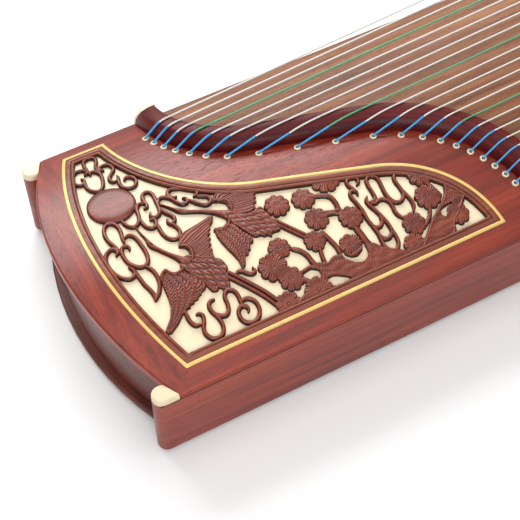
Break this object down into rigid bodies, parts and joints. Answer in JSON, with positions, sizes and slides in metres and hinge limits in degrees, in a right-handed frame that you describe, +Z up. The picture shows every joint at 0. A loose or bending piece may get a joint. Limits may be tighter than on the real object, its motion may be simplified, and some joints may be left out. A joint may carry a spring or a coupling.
{
  "type": "guzheng",
  "caption": "Long plucked zither with an arched top, an S-shaped tail bridge, a carved and inlaid tail panel, movable bridges, and a lidded tuning box.",
  "frame": {"origin": "on the ground under the middle of the instrument", "axes": "+X towards the head (tuning end, the player's right), +Y away from the player (bass side), +Z up"},
  "size_m": [1.63, 0.3244, 0.1647],
  "materials": {
    "rosewood": "satin lacquer over straight reddish-brown grain",
    "dark_rosewood": "gloss lacquer, dark red-brown",
    "paulownia": "scorched and brushed paulownia, satin",
    "bottom_wood": "plain sealed paulownia",
    "bone": "polished bone-coloured resin",
    "carving": "oiled carved rosewood",
    "cream_backing": "cream painted board",
    "gold_inlay": "pale gold line, polished",
    "maple": "laminated maple",
    "spruce": "raw spruce",
    "rubber": "black rubber",
    "string_cover": "nylon-wound steel string, white, green on every fifth",
    "brass": "turned brass",
    "bridge_wood": "satin rosewood with a bone tip",
    "steel": "nickel-plated steel"
  },
  "bodies": {
    "body": {"side_boards": "rosewood", "bottom_board": "bottom_wood", "end_boards": "dark_rosewood", "tail_deck": "rosewood", "soundboard": "paulownia", "head_deck": "rosewood", "tail_bridge": "dark_rosewood", "front_bridge": "dark_rosewood", "bone_fittings": "bone", "carved_panel": "carving", "panel_backing": "cream_backing", "gold_inlay": "gold_inlay", "pin_block": "maple", "braces": "spruce", "feet": "rubber", "strings": "string_cover", "lid_pivot_pins": "brass"},
    "lid": {"box_lid": "rosewood"},
    "bridge_01": {"bridge_01": "bridge_wood"},
    "bridge_02": {"bridge_02": "bridge_wood"},
    "bridge_03": {"bridge_03": "bridge_wood"},
    "bridge_04": {"bridge_04": "bridge_wood"},
    "bridge_05": {"bridge_05": "bridge_wood"},
    "bridge_06": {"bridge_06": "bridge_wood"},
    "bridge_07": {"bridge_07": "bridge_wood"},
    "bridge_08": {"bridge_08": "bridge_wood"},
    "bridge_09": {"bridge_09": "bridge_wood"},
    "bridge_10": {"bridge_10": "bridge_wood"},
    "bridge_11": {"bridge_11": "bridge_wood"},
    "bridge_12": {"bridge_12": "bridge_wood"},
    "bridge_13": {"bridge_13": "bridge_wood"},
    "bridge_14": {"bridge_14": "bridge_wood"},
    "bridge_15": {"bridge_15": "bridge_wood"},
    "bridge_16": {"bridge_16": "bridge_wood"},
    "bridge_17": {"bridge_17": "bridge_wood"},
    "bridge_18": {"bridge_18": "bridge_wood"},
    "bridge_19": {"bridge_19": "bridge_wood"},
    "bridge_20": {"bridge_20": "bridge_wood"},
    "bridge_21": {"bridge_21": "bridge_wood"},
    "tuning_pin_01": {"tuning_pin_01": "steel"},
    "tuning_pin_02": {"tuning_pin_02": "steel"},
    "tuning_pin_03": {"tuning_pin_03": "steel"},
    "tuning_pin_04": {"tuning_pin_04": "steel"},
    "tuning_pin_05": {"tuning_pin_05": "steel"},
    "tuning_pin_06": {"tuning_pin_06": "steel"},
    "tuning_pin_07": {"tuning_pin_07": "steel"},
    "tuning_pin_08": {"tuning_pin_08": "steel"},
    "tuning_pin_09": {"tuning_pin_09": "steel"},
    "tuning_pin_10": {"tuning_pin_10": "steel"},
    "tuning_pin_11": {"tuning_pin_11": "steel"},
    "tuning_pin_12": {"tuning_pin_12": "steel"},
    "tuning_pin_13": {"tuning_pin_13": "steel"},
    "tuning_pin_14": {"tuning_pin_14": "steel"},
    "tuning_pin_15": {"tuning_pin_15": "steel"},
    "tuning_pin_16": {"tuning_pin_16": "steel"},
    "tuning_pin_17": {"tuning_pin_17": "steel"},
    "tuning_pin_18": {"tuning_pin_18": "steel"},
    "tuning_pin_19": {"tuning_pin_19": "steel"},
    "tuning_pin_20": {"tuning_pin_20": "steel"},
    "tuning_pin_21": {"tuning_pin_21": "steel"}
  },
  "joints": [
    {"name": "bridge_01_slide", "type": "slide", "parent": "body", "child": "bridge_01", "axis": [1, 0, 0], "range_m": [-0.004, 0.004], "deforming": ["strings"]},
    {"name": "bridge_02_slide", "type": "slide", "parent": "body", "child": "bridge_02", "axis": [1, 0, 0], "range_m": [-0.004, 0.004], "deforming": ["strings"]},
    {"name": "bridge_03_slide", "type": "slide", "parent": "body", "child": "bridge_03", "axis": [1, 0, 0], "range_m": [-0.004, 0.004], "deforming": ["strings"]},
    {"name": "bridge_04_slide", "type": "slide", "parent": "body", "child": "bridge_04", "axis": [1, 0, 0], "range_m": [-0.0045, 0.0045], "deforming": ["strings"]},
    {"name": "bridge_05_slide", "type": "slide", "parent": "body", "child": "bridge_05", "axis": [1, 0, 0], "range_m": [-0.005, 0.005], "deforming": ["strings"]},
    {"name": "bridge_06_slide", "type": "slide", "parent": "body", "child": "bridge_06", "axis": [1, 0, 0], "range_m": [-0.005, 0.005], "deforming": ["strings"]},
    {"name": "bridge_07_slide", "type": "slide", "parent": "body", "child": "bridge_07", "axis": [1, 0, 0], "range_m": [-0.0055, 0.0055], "deforming": ["strings"]},
    {"name": "bridge_08_slide", "type": "slide", "parent": "body", "child": "bridge_08", "axis": [1, 0, 0], "range_m": [-0.006, 0.006], "deforming": ["strings"]},
    {"name": "bridge_09_slide", "type": "slide", "parent": "body", "child": "bridge_09", "axis": [1, 0, 0], "range_m": [-0.006, 0.006], "deforming": ["strings"]},
    {"name": "bridge_10_slide", "type": "slide", "parent": "body", "child": "bridge_10", "axis": [1, 0, 0], "range_m": [-0.0065, 0.0065], "deforming": ["strings"]},
    {"name": "bridge_11_slide", "type": "slide", "parent": "body", "child": "bridge_11", "axis": [1, 0, 0], "range_m": [-0.007, 0.007], "deforming": ["strings"]},
    {"name": "bridge_12_slide", "type": "slide", "parent": "body", "child": "bridge_12", "axis": [1, 0, 0], "range_m": [-0.007, 0.007], "deforming": ["strings"]},
    {"name": "bridge_13_slide", "type": "slide", "parent": "body", "child": "bridge_13", "axis": [1, 0, 0], "range_m": [-0.0075, 0.0075], "deforming": ["strings"]},
    {"name": "bridge_14_slide", "type": "slide", "parent": "body", "child": "bridge_14", "axis": [1, 0, 0], "range_m": [-0.008, 0.008], "deforming": ["strings"]},
    {"name": "bridge_15_slide", "type": "slide", "parent": "body", "child": "bridge_15", "axis": [1, 0, 0], "range_m": [-0.008, 0.008], "deforming": ["strings"]},
    {"name": "bridge_16_slide", "type": "slide", "parent": "body", "child": "bridge_16", "axis": [1, 0, 0], "range_m": [-0.0085, 0.0085], "deforming": ["strings"]},
    {"name": "bridge_17_slide", "type": "slide", "parent": "body", "child": "bridge_17", "axis": [1, 0, 0], "range_m": [-0.009, 0.009], "deforming": ["strings"]},
    {"name": "bridge_18_slide", "type": "slide", "parent": "body", "child": "bridge_18", "axis": [1, 0, 0], "range_m": [-0.009, 0.009], "deforming": ["strings"]},
    {"name": "bridge_19_slide", "type": "slide", "parent": "body", "child": "bridge_19", "axis": [1, 0, 0], "range_m": [-0.0095, 0.0095], "deforming": ["strings"]},
    {"name": "bridge_20_slide", "type": "slide", "parent": "body", "child": "bridge_20", "axis": [1, 0, 0], "range_m": [-0.01, 0.01], "deforming": ["strings"]},
    {"name": "bridge_21_slide", "type": "slide", "parent": "body", "child": "bridge_21", "axis": [1, 0, 0], "range_m": [-0.01, 0.01], "deforming": ["strings"]},
    {"name": "tuning_pin_01_turn", "type": "hinge", "parent": "body", "child": "tuning_pin_01", "pos_m": [0.664, -0.12105, 0.08], "axis": [0, 0, 1], "continuous": true},
    {"name": "tuning_pin_02_turn", "type": "hinge", "parent": "body", "child": "tuning_pin_02", "pos_m": [0.702, -0.10854, 0.08], "axis": [0, 0, 1], "continuous": true},
    {"name": "tuning_pin_03_turn", "type": "hinge", "parent": "body", "child": "tuning_pin_03", "pos_m": [0.74, -0.09602, 0.08], "axis": [0, 0, 1], "continuous": true},
    {"name": "tuning_pin_04_turn", "type": "hinge", "parent": "body", "child": "tuning_pin_04", "pos_m": [0.664, -0.0835, 0.08], "axis": [0, 0, 1], "continuous": true},
    {"name": "tuning_pin_05_turn", "type": "hinge", "parent": "body", "child": "tuning_pin_05", "pos_m": [0.702, -0.07099, 0.08], "axis": [0, 0, 1], "continuous": true},
    {"name": "tuning_pin_06_turn", "type": "hinge", "parent": "body", "child": "tuning_pin_06", "pos_m": [0.74, -0.05847, 0.08], "axis": [0, 0, 1], "continuous": true},
    {"name": "tuning_pin_07_turn", "type": "hinge", "parent": "body", "child": "tuning_pin_07", "pos_m": [0.664, -0.04596, 0.08], "axis": [0, 0, 1], "continuous": true},
    {"name": "tuning_pin_08_turn", "type": "hinge", "parent": "body", "child": "tuning_pin_08", "pos_m": [0.702, -0.03345, 0.08], "axis": [0, 0, 1], "continuous": true},
    {"name": "tuning_pin_09_turn", "type": "hinge", "parent": "body", "child": "tuning_pin_09", "pos_m": [0.74, -0.02093, 0.08], "axis": [0, 0, 1], "continuous": true},
    {"name": "tuning_pin_10_turn", "type": "hinge", "parent": "body", "child": "tuning_pin_10", "pos_m": [0.664, -0.00842, 0.08], "axis": [0, 0, 1], "continuous": true},
    {"name": "tuning_pin_11_turn", "type": "hinge", "parent": "body", "child": "tuning_pin_11", "pos_m": [0.702, 0.0041, 0.08], "axis": [0, 0, 1], "continuous": true},
    {"name": "tuning_pin_12_turn", "type": "hinge", "parent": "body", "child": "tuning_pin_12", "pos_m": [0.74, 0.01662, 0.08], "axis": [0, 0, 1], "continuous": true},
    {"name": "tuning_pin_13_turn", "type": "hinge", "parent": "body", "child": "tuning_pin_13", "pos_m": [0.664, 0.02913, 0.08], "axis": [0, 0, 1], "continuous": true},
    {"name": "tuning_pin_14_turn", "type": "hinge", "parent": "body", "child": "tuning_pin_14", "pos_m": [0.702, 0.04165, 0.08], "axis": [0, 0, 1], "continuous": true},
    {"name": "tuning_pin_15_turn", "type": "hinge", "parent": "body", "child": "tuning_pin_15", "pos_m": [0.74, 0.05416, 0.08], "axis": [0, 0, 1], "continuous": true},
    {"name": "tuning_pin_16_turn", "type": "hinge", "parent": "body", "child": "tuning_pin_16", "pos_m": [0.664, 0.06667, 0.08], "axis": [0, 0, 1], "continuous": true},
    {"name": "tuning_pin_17_turn", "type": "hinge", "parent": "body", "child": "tuning_pin_17", "pos_m": [0.702, 0.07919, 0.08], "axis": [0, 0, 1], "continuous": true},
    {"name": "tuning_pin_18_turn", "type": "hinge", "parent": "body", "child": "tuning_pin_18", "pos_m": [0.74, 0.0917, 0.08], "axis": [0, 0, 1], "continuous": true},
    {"name": "tuning_pin_19_turn", "type": "hinge", "parent": "body", "child": "tuning_pin_19", "pos_m": [0.664, 0.10422, 0.08], "axis": [0, 0, 1], "continuous": true},
    {"name": "tuning_pin_20_turn", "type": "hinge", "parent": "body", "child": "tuning_pin_20", "pos_m": [0.702, 0.11674, 0.08], "axis": [0, 0, 1], "continuous": true},
    {"name": "tuning_pin_21_turn", "type": "hinge", "parent": "body", "child": "tuning_pin_21", "pos_m": [0.74, 0.12925, 0.08], "axis": [0, 0, 1], "continuous": true},
    {"name": "lid_hinge", "type": "hinge", "parent": "body", "child": "lid", "pos_m": [0.702, 0.13014, 0.08737], "axis": [-1, 0, 0], "range_deg": [0, 90]}
  ]
}
